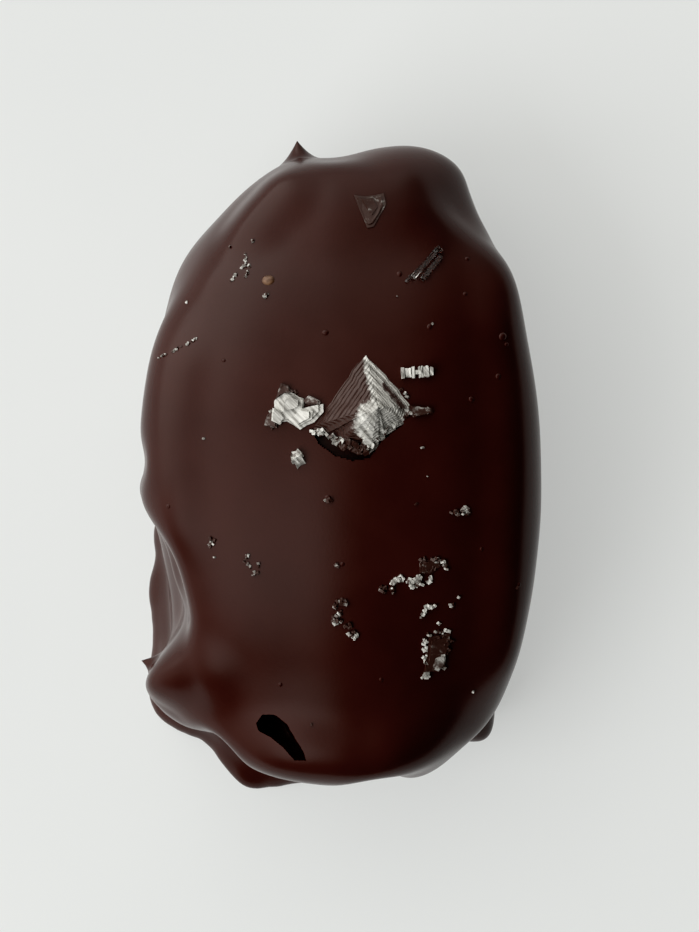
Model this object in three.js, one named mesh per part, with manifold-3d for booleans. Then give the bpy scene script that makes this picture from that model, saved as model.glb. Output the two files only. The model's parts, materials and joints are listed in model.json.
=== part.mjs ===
// A stuffed date dipped in dark chocolate and finished with flaky sea salt.
//
// It lies on the flat that it set on, so it is one solid: the coat with all that it hides, and
// the salt that is stuck to it. Millimetres. X is the width, Y the length and Z up, and
// 0, 0, 0 is the middle of the underside.
import * as THREE from 'three';
import { mergeVertices } from 'three/addons/utils/BufferGeometryUtils.js';
import Module from 'manifold-3d';

const wasm = await Module();
wasm.setup();

// Driving dimensions
const WIDTH = 31.6; // across the middle, before the lobes are drawn out
const LENGTH = 50.4;
const CROWN = 12.0; // from the widest line up to the top
const BELLY = 20.0; // from the widest line down, before the underside is cut flat
const WIDEST_AT = 9.8; // height of the widest line above the table
const FOOT_HEIGHT = 2.2; // chocolate that ran out round the base before it set
const FOOT_SPREAD = 0.03;
const SALT_BITE = 0.25; // how deep a flake sits in the chocolate
const GRID = { x: 22, y: 36, z: 20 }; // facets along each side of the coat's net
const SETTLING = 0.5; // how far the wet coat evened out towards its neighbours
const LINE_STEP = 0.5; // from point to point along a line that the coat is drawn out along
const ABOVE_ALL = 60; // height that flakes are dropped from on to the coat

// How the coat leaves a plain oval. The chocolate nearest the line ALONG moves BY, and the move
// fades out over REACH. A point x, y is on top of the coat there; one with z is on its side.
const DRAWN_OUT = {
  leftShoulder: { along: [[-10.8, -15], [-11.2, 0], [-9.5, 14]], by: [-0.9, 0, 0.9], reach: 9 },
  rightShoulder: { along: [[10.8, -15], [11.2, 0], [9.5, 14]], by: [0.9, 0, 0.9], reach: 9 },
  farShoulder: { along: [[-3, 21.5], [4, 21.5]], by: [0, 0.9, 0.9], reach: 7 },
  nearShoulder: { along: [[-5, -21.5], [4, -21.5]], by: [0, -0.6, 0.8], reach: 7 },
  nearRim: { along: [[-7, -22.6], [1, -23.4], [9, -22]], by: [0, -0.4, 2.0], reach: 5 },
  rightRim: { along: [[13.2, -15], [14, -5], [14, 5], [12.6, 14]], by: [0.2, 0, 1.5], reach: 5 },
  leftRim: { along: [[-13.6, -4], [-13.8, 2], [-13.2, 8]], by: [-0.4, 0, 1.3], reach: 5 },
  rightWall: {
    along: [[13, -15, 16], [15, -5, 16], [15, 5, 16], [12.4, 15, 16]],
    by: [0.8, 0, 0],
    reach: 4,
  },
  leftWall: {
    along: [[-15, -3, 16], [-15, 4, 16], [-13.6, 11, 16]],
    by: [-0.8, 0, 0],
    reach: 4,
  },
  nearWall: {
    along: [[-6, -23.5, 16], [1, -24.6, 16], [8, -23, 16]],
    by: [0, -0.8, 0],
    reach: 4,
  },

  nearLeftCorner: { along: [[-10, -19, 10], [-8.7, -17, 1]], by: [-2.0, -1.5, 0], reach: 10 },
  nearRightCorner: { along: [[10, -19, 10], [8.7, -17, 1]], by: [1.4, -1.3, 0], reach: 10 },
  nearRightSide: { along: [[14.8, -11, 10], [12.8, -10, 1]], by: [0.8, -0.2, 0], reach: 7 },
  rightSide: { along: [[15.6, -4, 10], [13.6, -3, 1]], by: [0.3, 0, 0], reach: 9 },
  farRightSide: { along: [[15, 9, 10]], by: [0.3, 0.1, 0], reach: 7 },
  farLeftCorner: { along: [[-12, 15.5, 9]], by: [-0.4, 0.3, 0], reach: 6 },
  farRightCorner: { along: [[13.4, 15.5, 12], [12.5, 14.5, 4]], by: [0.6, 0.4, 0], reach: 6.5 },

  farFold: { along: [[6.4, 24, 11], [6, 22.5, 3]], by: [1.1, 1.8, 0], reach: 6 },
  farFoldCorner: { along: [[8.8, 22.3, 11], [8.2, 21, 4]], by: [1.1, 0.8, 0], reach: 4.5 },
  farFoldSide: { along: [[11, 19.5, 11], [10.5, 18.5, 4]], by: [0.5, 0.5, 0], reach: 3.5 },
  farFoldTop: { along: [[6, 22], [9.5, 18.5]], by: [0.3, 0.2, 0.5], reach: 6 },
  farValley: { along: [[-0.8, 25, 13], [-0.8, 24, 4]], by: [0, -0.5, 0], reach: 3.5 },
  farRidge: { along: [[-4.6, 21.5], [-7, 18.8]], by: [-0.3, 0.5, 0.6], reach: 3.8 },

  leftBulge: { along: [[-15.6, -2.1, 11], [-15, -2.1, 5]], by: [-0.6, 0, 0], reach: 2.8 },
  leftGroove: { along: [[-15.6, 0.5, 16], [-15, 0.7, 5]], by: [0.7, 0, 0], reach: 2 },
  leftHollow: {
    along: [[-14.4, -7.5, 14], [-13.6, -11, 14], [-13.8, -11, 10], [-14.6, -7.5, 10]],
    by: [2.0, 0, 0],
    reach: 5.5,
  },
  leftFootEnd: { along: [[-14, -5.5, 0], [-13.6, -8, 0]], by: [-1.9, 0, 0], reach: 3.5 },
  leftFoot: { along: [[-12.6, -11, 0], [-12.2, -15, 0]], by: [-3.0, 0, 0], reach: 5 },
  leftFold: {
    along: [[-13.2, -16.2, 12.5], [-12.9, -17.6, 6], [-12.4, -17.6, 0]],
    by: [-1.7, -0.9, 0.3],
    reach: 4,
  },
  leftFoldTop: { along: [[-12.8, -15.4], [-10.5, -16]], by: [0, 0, 0.5], reach: 4 },

  nearLeftFold: { along: [[-12.6, -19.6, 9], [-11.8, -20.5, 4]], by: [-0.5, -0.2, 0], reach: 3 },
  nearValley: { along: [[-10, -23, 12], [-9.6, -23, 5]], by: [1.0, 1.1, 0], reach: 3.5 },
  nearLeftFoot: {
    along: [[-12.4, -16.5, 0], [-10.5, -19, 0], [-8, -21, 0]],
    by: [-1.6, -2.6, 0],
    reach: 5,
  },
  nearFoot: {
    along: [[-7.2, -21.8, 0], [-4, -22.7, 0], [0.5, -23, 0]],
    by: [-0.2, -4.1, 0],
    reach: 4.5,
  },
  nearFold: { along: [[6, -24, 10], [6, -23, 2]], by: [0.3, -0.9, 0], reach: 5 },
  nearNotch: { along: [[2.4, -25, 14], [2.4, -24, 4]], by: [0, 1.0, 0], reach: 3.2 },
  rightFlank: { along: [[11.3, -19.6, 8], [9.6, -21.2, 8]], by: [-0.5, 0.5, 0], reach: 3 },
  rightFoot: { along: [[11, -20.2, 5], [10.4, -19.8, 0]], by: [1.2, -2.1, 0], reach: 3.5 },
};

// Tails that the dipping fork left: where the tip ends, how the tail points, its length and radius
const TAILS = [
  { tip: [-3.4, 25.8, 10.4], points: [-0.1, 0.9, 0.35], length: 2.6, radius: 1.3 },
  { tip: [-16.0, -15.4, 9.8], points: [-0.9, 0.25, 0.3], length: 3.4, radius: 1.1 },
];

// Where the coat was torn and has a hole: its middle, its length, width and height, its turn, and
// how far it starts below the skin
const TORN_HOLE = { x: -4.6, y: -21.1, size: [4.4, 1.5, 1.6], turn: -40, below: 0.1 };

// The flaky salt, by the place of each flake on top. SIZE is its length, width and thickness,
// and TURN its angle seen from above.
const SALT = [
  { kind: 'plate', x: -3.1, y: 4.3, size: [3.8, 2.9, 0.9], turn: 0 },
  { kind: 'rod', x: 5.8, y: 7.1, size: [2.3, 0.8, 0.7], turn: 5 },
  { kind: 'rod', x: 6.8, y: 15.4, size: [3.2, 1.0, 0.7], turn: 48 },
  { kind: 'rod', x: -8.3, y: 14.5, size: [1.1, 0.5, 0.5], turn: 60 },
  { kind: 'rod', x: -7.2, y: -7.2, size: [0.9, 0.5, 0.6], turn: -50 },
  { kind: 'crumb', x: 2.3, y: 20.0, size: [2.2, 2.4, 0.7], turn: 20 },
  { kind: 'crumb', x: -3.2, y: 0.9, size: [1.1, 0.8, 1.0], turn: 70 },
  { kind: 'crumb', x: 6.6, y: 4.2, size: [0.7, 0.5, 0.7], turn: 0 },
  { kind: 'crumb', x: 9.5, y: -3.5, size: [1.0, 0.8, 1.0], turn: 0 },
  { kind: 'crumb', x: 5.7, y: -9.0, size: [1.7, 1.1, 1.3], turn: 20 },
  { kind: 'crumb', x: 4.1, y: -9.2, size: [1.6, 0.9, 1.1], turn: 10 },
  { kind: 'crumb', x: 6.8, y: -7.5, size: [1.9, 1.1, 0.9], turn: 0 },
  { kind: 'crumb', x: 6.9, y: -10.9, size: [1.2, 0.7, 0.9], turn: 40 },
  { kind: 'crumb', x: -0.1, y: -11.2, size: [1.3, 1.6, 1.0], turn: 15 },
  { kind: 'crumb', x: 1.0, y: -12.8, size: [0.8, 1.2, 0.9], turn: 30 },
  { kind: 'plate', x: 7.5, y: -14.4, size: [2.2, 3.5, 0.8], turn: -15 },
  { kind: 'crumb', x: -9.8, y: -6.0, size: [0.7, 0.9, 0.7], turn: 0 },
  { kind: 'crumb', x: -6.5, y: -7.8, size: [1.1, 1.0, 0.8], turn: 25 },
  { kind: 'bead', x: -5.5, y: 14.3, size: [0.9, 0.9, 0.9], turn: 0 },
];

// The big flake is a stepped pyramid, as fleur de sel grows: the corners of its foot in order
// round it, and its peak
const PYRAMID = {
  foot: [[1.9, 8.4], [5.6, 4.5], [2.1, 1.5], [-2.1, 2.9]],
  peak: [2.8, 4.5],
  height: 2.0,
  root: 1.0, // how far its foot runs on down into the chocolate
};

// A flake's broken outline, for a length and width of 1
const BROKEN_PLATE = [
  [-0.5, 0.12], [-0.34, 0.42], [0.08, 0.36], [0.12, 0.1],
  [0.5, 0.16], [0.3, -0.3], [-0.02, -0.5], [-0.42, -0.3],
];

// A geometry with only merged corners, which is what the joins and cuts below work on
function cornersOnly(geometry) {
  const plain = geometry.clone();
  plain.deleteAttribute('normal');
  plain.deleteAttribute('uv');
  return mergeVertices(plain, 1e-5);
}

function solidOf(geometry) {
  const merged = cornersOnly(geometry);
  return new wasm.Manifold(new wasm.Mesh({
    numProp: 3,
    vertProperties: new Float32Array(merged.attributes.position.array),
    triVerts: new Uint32Array(merged.index.array),
  }));
}

function geometryOf(solid) {
  const mesh = solid.getMesh();
  const geometry = new THREE.BufferGeometry();
  geometry.setAttribute('position', new THREE.BufferAttribute(mesh.vertProperties, 3));
  geometry.setIndex(new THREE.BufferAttribute(mesh.triVerts, 1));
  return geometry;
}

// The corner of the net nearest to a point, which may leave out its height if it is on top
function nearestCorner(position, [x, y, z]) {
  const corner = new THREE.Vector3();
  let nearest = null;
  let gap = Infinity;
  for (let i = 0; i < position.count; i += 1) {
    corner.fromBufferAttribute(position, i);
    const seenFromAbove = z === undefined;
    const above = seenFromAbove ? 0 : corner.z - z;
    const away = Math.hypot(corner.x - x, corner.y - y, above);
    if (away < gap && (!seenFromAbove || corner.z > WIDEST_AT)) {
      gap = away;
      nearest = corner.clone();
    }
  }
  return nearest;
}

// The corners of the net that a line of points passes, taken every half millimetre
function cornersAlong(position, along) {
  const taken = [];
  along.forEach((start, i) => {
    const end = along[i + 1] ?? start;
    const length = Math.hypot(...start.map((v, axis) => end[axis] - v));
    const steps = Math.max(1, Math.round(length / LINE_STEP));
    for (let step = 0; step < steps; step += 1) {
      const point = start.map((v, axis) => v + (end[axis] - v) * (step / steps));
      taken.push(nearestCorner(position, point));
    }
  });
  return taken;
}

function drawOut(position, { along, by, reach }) {
  const line = cornersAlong(position, along);
  const move = new THREE.Vector3(...by);
  const corner = new THREE.Vector3();
  for (let i = 0; i < position.count; i += 1) {
    corner.fromBufferAttribute(position, i);
    const away = Math.min(...line.map((p) => p.distanceTo(corner)));
    const share = 1 - THREE.MathUtils.smoothstep(away, 0, reach);
    corner.addScaledVector(move, share);
    position.setXYZ(i, corner.x, corner.y, corner.z);
  }
}

// The wet coat evens out: every corner goes part of the way to the middle of its neighbours
function settle(net) {
  const { position } = net.attributes;
  const sums = Array.from({ length: position.count }, () => (
    { at: new THREE.Vector3(), count: 0 }));
  const corner = new THREE.Vector3();
  const index = net.index.array;
  for (let i = 0; i < index.length; i += 3) {
    for (let side = 0; side < 3; side += 1) {
      const sum = sums[index[i + side]];
      sum.at.add(corner.fromBufferAttribute(position, index[i + ((side + 1) % 3)]));
      sum.count += 1;
    }
  }
  sums.forEach(({ at, count }, i) => {
    corner.fromBufferAttribute(position, i).lerp(at.divideScalar(count), SETTLING);
    position.setXYZ(i, corner.x, corner.y, corner.z);
  });
}

// The coat: an oval, drawn out at its folds, evened, cut flat below and spread at its foot
function coatGeometry() {
  const net = cornersOnly(new THREE.BoxGeometry(2, 2, 2, GRID.x, GRID.y, GRID.z));
  const position = net.attributes.position;
  const corner = new THREE.Vector3();
  for (let i = 0; i < position.count; i += 1) {
    corner.fromBufferAttribute(position, i).normalize();
    const rise = corner.z > 0 ? CROWN : BELLY;
    position.setXYZ(i, corner.x * WIDTH / 2, corner.y * LENGTH / 2, WIDEST_AT + corner.z * rise);
  }
  Object.values(DRAWN_OUT).forEach((feature) => drawOut(position, feature));
  settle(net);
  for (let i = 0; i < position.count; i += 1) {
    corner.fromBufferAttribute(position, i);
    corner.z = Math.max(corner.z, 0);
    const spread = 1 + FOOT_SPREAD * (1 - THREE.MathUtils.smoothstep(corner.z, 0, FOOT_HEIGHT));
    position.setXYZ(i, corner.x * spread, corner.y * spread, corner.z);
  }
  net.computeVertexNormals();
  return net;
}

function tailSolid({ tip, points, length, radius }) {
  const cone = new THREE.ConeGeometry(radius, length, 10).translate(0, -length / 2, 0);
  const direction = new THREE.Vector3(...points).normalize();
  const turn = new THREE.Quaternion().setFromUnitVectors(new THREE.Vector3(0, 1, 0), direction);
  return solidOf(cone.applyQuaternion(turn).translate(...tip));
}

// The place on top of the coat over x, y, and the way that the coat faces there
function onTop(coat, x, y) {
  const above = new THREE.Vector3(x, y, ABOVE_ALL);
  const down = new THREE.Raycaster(above, new THREE.Vector3(0, 0, -1));
  const [hit] = down.intersectObject(new THREE.Mesh(coat, new THREE.MeshBasicMaterial()));
  return { place: hit.point, facing: hit.face.normal.clone() };
}

// A flake of length, width and thickness 1, standing on 0, 0, 0
const FLAKE = {
  plate() {
    const outline = new THREE.Shape(BROKEN_PLATE.map(([x, y]) => new THREE.Vector2(x, y)));
    return new THREE.ExtrudeGeometry(outline, { depth: 1, bevelEnabled: false });
  },
  rod: () => new THREE.BoxGeometry(1, 1, 1).translate(0, 0, 0.5),
  crumb: () => new THREE.DodecahedronGeometry(0.56).translate(0, 0, 0.5),
  bead: () => new THREE.SphereGeometry(0.5, 10, 6).translate(0, 0, 0.5),
};

function layOnCoat(geometry, coat, { x, y, turn }, depth) {
  const { place, facing } = onTop(coat, x, y);
  const lean = new THREE.Quaternion().setFromUnitVectors(new THREE.Vector3(0, 0, 1), facing);
  return geometry
    .rotateZ(THREE.MathUtils.degToRad(turn))
    .translate(0, 0, -depth)
    .applyQuaternion(lean)
    .translate(place.x, place.y, place.z);
}

function flakeSolid(coat, flake) {
  const geometry = FLAKE[flake.kind]().scale(...flake.size);
  return solidOf(layOnCoat(geometry, coat, flake, SALT_BITE));
}

function holeSolid(coat, hole) {
  const geometry = new THREE.SphereGeometry(0.5, 14, 8).scale(...hole.size);
  return solidOf(layOnCoat(geometry, coat, hole, hole.below));
}

// Its foot follows the coat under each corner, and runs on down into it
function pyramidSolid(coat) {
  const peak = onTop(coat, ...PYRAMID.peak).place.add(new THREE.Vector3(0, 0, PYRAMID.height));
  const rim = PYRAMID.foot.map(([x, y]) => onTop(coat, x, y).place);
  const root = rim.map((p) => p.clone().setZ(p.z - PYRAMID.root));
  const points = [peak, ...rim, ...root];
  const count = rim.length;
  const faces = [];
  for (let i = 0; i < count; i += 1) {
    const next = (i + 1) % count;
    faces.push(0, 1 + next, 1 + i);
    faces.push(1 + i, 1 + next, 1 + count + next);
    faces.push(1 + i, 1 + count + next, 1 + count + i);
  }
  faces.push(1 + count, 2 + count, 3 + count);
  faces.push(1 + count, 3 + count, 4 + count);
  const geometry = new THREE.BufferGeometry().setFromPoints(points).setIndex(faces);
  return solidOf(geometry);
}

// One fused solid, moved so that the middle of its underside is 0, 0, 0
function coatedDate() {
  const coat = coatGeometry();
  let whole = TAILS.reduce((solid, tail) => solid.add(tailSolid(tail)), solidOf(coat));
  whole = whole.subtract(holeSolid(coat, TORN_HOLE));
  whole = whole.add(pyramidSolid(coat));
  whole = SALT.reduce((solid, flake) => solid.add(flakeSolid(coat, flake)), whole);
  const geometry = geometryOf(whole);
  geometry.computeBoundingBox();
  const middle = geometry.boundingBox.getCenter(new THREE.Vector3());
  return geometry.translate(-middle.x, -middle.y, 0);
}

const darkChocolate = new THREE.MeshStandardMaterial({ color: 0x3a1c17, roughness: 0.35 });

const date = new THREE.Mesh(coatedDate(), darkChocolate);
date.name = 'coated_date';

const group = new THREE.Group();
group.add(date);

export default group;
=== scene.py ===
import json
import math
import random

import bmesh
import bpy
from mathutils import Matrix, Vector
from mathutils.bvhtree import BVHTree
from mathutils.kdtree import KDTree

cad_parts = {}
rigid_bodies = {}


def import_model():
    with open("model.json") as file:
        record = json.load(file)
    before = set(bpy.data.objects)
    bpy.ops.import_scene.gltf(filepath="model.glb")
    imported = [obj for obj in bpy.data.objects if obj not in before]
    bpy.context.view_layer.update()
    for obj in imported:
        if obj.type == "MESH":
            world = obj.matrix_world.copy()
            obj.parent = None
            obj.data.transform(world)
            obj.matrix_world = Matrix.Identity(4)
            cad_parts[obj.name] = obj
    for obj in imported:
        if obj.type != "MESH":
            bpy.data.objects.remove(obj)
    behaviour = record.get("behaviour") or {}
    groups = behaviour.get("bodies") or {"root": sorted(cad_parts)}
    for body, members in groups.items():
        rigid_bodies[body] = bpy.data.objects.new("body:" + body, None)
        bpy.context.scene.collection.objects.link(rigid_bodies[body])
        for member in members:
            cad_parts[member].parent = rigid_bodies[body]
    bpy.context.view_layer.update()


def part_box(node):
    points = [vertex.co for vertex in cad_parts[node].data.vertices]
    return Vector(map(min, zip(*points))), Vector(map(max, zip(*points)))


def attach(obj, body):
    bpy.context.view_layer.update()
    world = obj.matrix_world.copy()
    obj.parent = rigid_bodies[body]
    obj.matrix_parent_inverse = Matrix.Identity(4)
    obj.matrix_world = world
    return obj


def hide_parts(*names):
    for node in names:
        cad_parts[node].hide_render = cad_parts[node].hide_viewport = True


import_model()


# The floor: smooth pale stone, honed flat and lit by a window on the left. The camera hangs over
# it and looks straight down. Sizes in this file are millimetres, turned to metres by MM.
MM = 0.001
COUNTER_SIZE = 1600
CAMERA_HEIGHT = 250
CAMERA_OVER = (0.79, 0.45)
FRAME_HEIGHT = 74.6      # what the frame's long side takes in, half way up the date
HALF_WAY_UP = 10
SENSOR = 36
WINDOW_SIZE = (500, 400)
WINDOW_PLACE = (-450, -250, 450)
WINDOW_ENERGY = 3.3
ROOM_TINT = (1.0, 0.975, 0.93, 1)
ROOM_DIM = 0.03          # the light from every side alike
# daylight: which way it comes from, where it fades in and where it is full, and how strong it is
WALL_LIGHT = ((-0.91, 0.41, 0), -0.24, 0.14, 0.72)
WALL_END = ((0, 1, 0), -0.80, -0.30, 1)
FAR_LIGHT = ((0, 1, 0), 0.33, 0.9, 0.38)
FAR_LEFT_LIGHT = ((-0.72, 0.60, 0.34), 0.60, 0.97, 1.6)
NEAR_LEFT_LIGHT = ((-0.42, -0.34, 0.84), 0.84, 1.0, 0.95)
# how the picture's darkest tones are set, as light in and light out
DARK_TONES = (
    (0.01, 0.0008), (0.02, 0.0034), (0.04, 0.0152), (0.08, 0.047), (0.16, 0.121), (0.30, 0.262),
    (0.45, 0.42))

bpy.ops.object.select_all(action="DESELECT")
bpy.ops.mesh.primitive_plane_add(size=COUNTER_SIZE * MM)
counter = bpy.context.active_object
counter.name = "counter"

stone = bpy.data.materials.new("honed pale stone")
stone.use_nodes = True
stone_nodes = stone.node_tree.nodes
stone_links = stone.node_tree.links
stone_skin = stone_nodes["Principled BSDF"]
stone_skin.inputs["Roughness"].default_value = 0.55
stone_skin.inputs["Specular IOR Level"].default_value = 0.25
stone_place = stone_nodes.new("ShaderNodeTexCoord")
stone_clouds = stone_nodes.new("ShaderNodeTexNoise")
stone_clouds.inputs["Scale"].default_value = 22
stone_clouds.inputs["Detail"].default_value = 5
stone_tints = stone_nodes.new("ShaderNodeValToRGB")
stone_tints.color_ramp.elements[0].position = 0.3
stone_tints.color_ramp.elements[0].color = (0.268, 0.279, 0.280, 1)
stone_tints.color_ramp.elements[1].position = 0.7
stone_tints.color_ramp.elements[1].color = (0.290, 0.300, 0.300, 1)
stone_links.new(stone_place.outputs["Object"], stone_clouds.inputs["Vector"])
stone_links.new(stone_clouds.outputs["Fac"], stone_tints.inputs["Fac"])
stone_links.new(stone_tints.outputs["Color"], stone_skin.inputs["Base Color"])
stone_skin.inputs["Emission Color"].default_value = (0.450, 0.457, 0.449, 1)
stone_skin.inputs["Emission Strength"].default_value = 1
counter.data.materials.append(stone)

camera_data = bpy.data.cameras.new("camera")
camera = bpy.data.objects.new("camera", camera_data)
bpy.context.scene.collection.objects.link(camera)
bpy.context.scene.camera = camera
camera.location = (CAMERA_OVER[0] * MM, CAMERA_OVER[1] * MM, CAMERA_HEIGHT * MM)
camera_data.sensor_width = SENSOR
camera_data.lens = SENSOR * (CAMERA_HEIGHT - HALF_WAY_UP) / FRAME_HEIGHT
camera_data.clip_start = 0.01

# daylight: a pale wall on the left and dark on the right, more light from the far side, and the
# brightest patches at the far left and above the near left
sky = bpy.data.worlds.new("room")
bpy.context.scene.world = sky
sky.use_nodes = True
sky_nodes = sky.node_tree.nodes
sky_links = sky.node_tree.links
room = sky_nodes["Background"]
room.inputs["Color"].default_value = ROOM_TINT
facing = sky_nodes.new("ShaderNodeTexCoord")


def daylight(towards, starts, ends, strength):
    """Gives the light from one side of the room, which fades in between two cosines."""
    side = sky_nodes.new("ShaderNodeVectorMath")
    side.operation = "DOT_PRODUCT"
    side.inputs[1].default_value = Vector(towards).normalized()
    fade = sky_nodes.new("ShaderNodeMapRange")
    fade.interpolation_type = "SMOOTHSTEP"
    fade.inputs["From Min"].default_value = starts
    fade.inputs["From Max"].default_value = ends
    fade.inputs["To Min"].default_value = 0
    fade.inputs["To Max"].default_value = strength
    sky_links.new(facing.outputs["Generated"], side.inputs[0])
    sky_links.new(side.outputs["Value"], fade.inputs["Value"])
    return fade.outputs["Result"]


# the wall on the left ends towards the near side
wall = sky_nodes.new("ShaderNodeMath")
wall.operation = "MULTIPLY"
sky_links.new(daylight(*WALL_LIGHT), wall.inputs[0])
sky_links.new(daylight(*WALL_END), wall.inputs[1])

strength = room.inputs["Strength"]
for light in (
        wall.outputs["Value"], daylight(*FAR_LIGHT), daylight(*FAR_LEFT_LIGHT),
        daylight(*NEAR_LEFT_LIGHT)):
    total = sky_nodes.new("ShaderNodeMath")
    total.operation = "ADD"
    total.inputs[1].default_value = ROOM_DIM
    sky_links.new(light, total.inputs[0])
    if strength.is_linked:
        sky_links.new(strength.links[0].from_socket, total.inputs[1])
    sky_links.new(total.outputs["Value"], strength)

window_data = bpy.data.lights.new("window", "AREA")
window_data.shape = "RECTANGLE"
window_data.size = WINDOW_SIZE[0] * MM
window_data.size_y = WINDOW_SIZE[1] * MM
window_data.energy = WINDOW_ENERGY
window = bpy.data.objects.new("window", window_data)
bpy.context.scene.collection.objects.link(window)
window.location = Vector(WINDOW_PLACE) * MM
window.visible_glossy = False
window_faces = Vector((0, 0, HALF_WAY_UP * MM)) - window.location
window.rotation_euler = window_faces.to_track_quat("-Z", "Y").to_euler()

bpy.context.scene.view_settings.view_transform = "Standard"
bpy.context.scene.view_settings.use_curve_mapping = True
tones = bpy.context.scene.view_settings.curve_mapping
for tone_in, tone_out in DARK_TONES:
    tones.curves[3].points.new(tone_in, tone_out)
tones.update()


# The coat: dark chocolate that the whole date was dipped in. It ran down in soft folds, set flat
# where it touched the counter, and spread there into feet. It hides the date and its filling, so
# it is one closed skin, from an oval drawn out.
WIDTH = 31.6
LENGTH = 50.4
CROWN = 12.0             # from the widest line up to the top
BELLY = 20.0             # from the widest line down, before the underside is cut flat
WIDEST_AT = 9.8
FOOT_HEIGHT = 2.2
FOOT_SPREAD = 1.03
NET_CUTS = 68            # how fine the net is that gets drawn out
LINE_STEP = 0.4          # how far apart the points are that a pulled line is made of
OVER_THE_COAT = 60

bpy.ops.object.select_all(action="DESELECT")
bpy.ops.mesh.primitive_cube_add(size=2)
coat = bpy.context.active_object
coat.name = "chocolate_coat"
bpy.ops.object.mode_set(mode="EDIT")
bpy.ops.mesh.subdivide(number_cuts=NET_CUTS)
bpy.ops.transform.tosphere(value=1.0)
net = bmesh.from_edit_mesh(coat.data)
ball = max(v.co.x for v in net.verts)
bpy.ops.transform.resize(value=(WIDTH / 2 * MM / ball, LENGTH / 2 * MM / ball, CROWN * MM / ball))
for v in net.verts:
    v.select_set(v.co.z < 0)
net.select_flush_mode()
bpy.ops.transform.resize(value=(1, 1, BELLY / CROWN), center_override=(0, 0, 0))
bpy.ops.mesh.select_all(action="SELECT")
bpy.ops.transform.translate(value=(0, 0, WIDEST_AT * MM))


def select_along(piece, along):
    """Selects the corners of the piece that a line of points passes. A point x, y is on top."""
    net = bmesh.from_edit_mesh(piece.data)
    net.verts.ensure_lookup_table()
    bpy.ops.mesh.select_all(action="DESELECT")
    on_top = len(along[0]) == 2
    corners = KDTree(len(net.verts))
    for v in net.verts:
        if not on_top:
            corners.insert(v.co, v.index)
        elif v.co.z > WIDEST_AT * MM:
            corners.insert((v.co.x, v.co.y, 0), v.index)
    corners.balance()
    points = [Vector((*p, 0)[:3]) * MM for p in along]
    for start, end in zip(points, points[1:] + points[-1:]):
        steps = max(1, round((end - start).length / (LINE_STEP * MM)))
        for step in range(steps):
            _, index, _ = corners.find(start.lerp(end, step / steps))
            net.verts[index].select_set(True)
    net.select_flush_mode()


def draw_out(along, by, reach, profile="SMOOTH"):
    """Moves the chocolate nearest a line of points, and what is round it less and less."""
    select_along(coat, along)
    bpy.ops.transform.translate(
        value=Vector(by) * MM, orient_type="GLOBAL", use_proportional_edit=True,
        proportional_edit_falloff=profile, proportional_size=reach * MM)


# two long planes that meet in a soft crest, rounded ends, and a full rim all round
draw_out([(-10.8, -15), (-11.2, 0), (-9.5, 14)], (-0.9, 0, 0.9), 9)
draw_out([(10.8, -15), (11.2, 0), (9.5, 14)], (0.9, 0, 0.9), 9)
draw_out([(-3, 21.5), (4, 21.5)], (0, 0.9, 0.9), 7)
draw_out([(-5, -21.5), (4, -21.5)], (0, -0.6, 0.8), 7)
draw_out([(-7, -22.6), (1, -23.4), (9, -22)], (0, -0.4, 2.0), 5)
draw_out([(13.2, -15), (14, -5), (14, 5), (12.6, 14)], (0.2, 0, 1.5), 5)
draw_out([(-13.6, -4), (-13.8, 2), (-13.2, 8)], (-0.4, 0, 1.3), 5)
draw_out([(13, -15, 16), (15, -5, 16), (15, 5, 16), (12.4, 15, 16)], (0.8, 0, 0), 4)
draw_out([(-15, -3, 16), (-15, 4, 16), (-13.6, 11, 16)], (-0.8, 0, 0), 4)
draw_out([(-6, -23.5, 16), (1, -24.6, 16), (8, -23, 16)], (0, -0.8, 0), 4)
# the fuller near end, and the sides
draw_out([(-10, -19, 10), (-8.7, -17, 1)], (-2.0, -1.5, 0), 10)
draw_out([(10, -19, 10), (8.7, -17, 1)], (1.4, -1.3, 0), 10)
draw_out([(14.8, -11, 10), (12.8, -10, 1)], (0.8, -0.2, 0), 7)
draw_out([(15.6, -4, 10), (13.6, -3, 1)], (0.3, 0, 0), 9)
draw_out([(15, 9, 10)], (0.3, 0.1, 0), 7)
draw_out([(-12, 15.5, 9)], (-0.4, 0.3, 0), 6)
draw_out([(13.4, 15.5, 12), (12.5, 14.5, 4)], (0.6, 0.4, 0), 6.5)
bpy.ops.mesh.select_all(action="SELECT")
bpy.ops.mesh.vertices_smooth(factor=0.5, repeat=12)
# the fold at the far right, the valley beside it and the ridge that runs down from the far tail
draw_out([(6.4, 24, 11), (6, 22.5, 3)], (1.1, 1.8, 0), 6)
draw_out([(8.8, 22.3, 11), (8.2, 21, 4)], (1.1, 0.8, 0), 4.5)
draw_out([(11, 19.5, 11), (10.5, 18.5, 4)], (0.5, 0.5, 0), 3.5)
draw_out([(6, 22), (9.5, 18.5)], (0.3, 0.2, 0.5), 6)
draw_out([(-0.8, 25, 13), (-0.8, 24, 4)], (0, -0.5, 0), 3.5)
draw_out([(-4.6, 21.5), (-7, 18.8)], (-0.3, 0.5, 0.6), 3.8)
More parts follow.
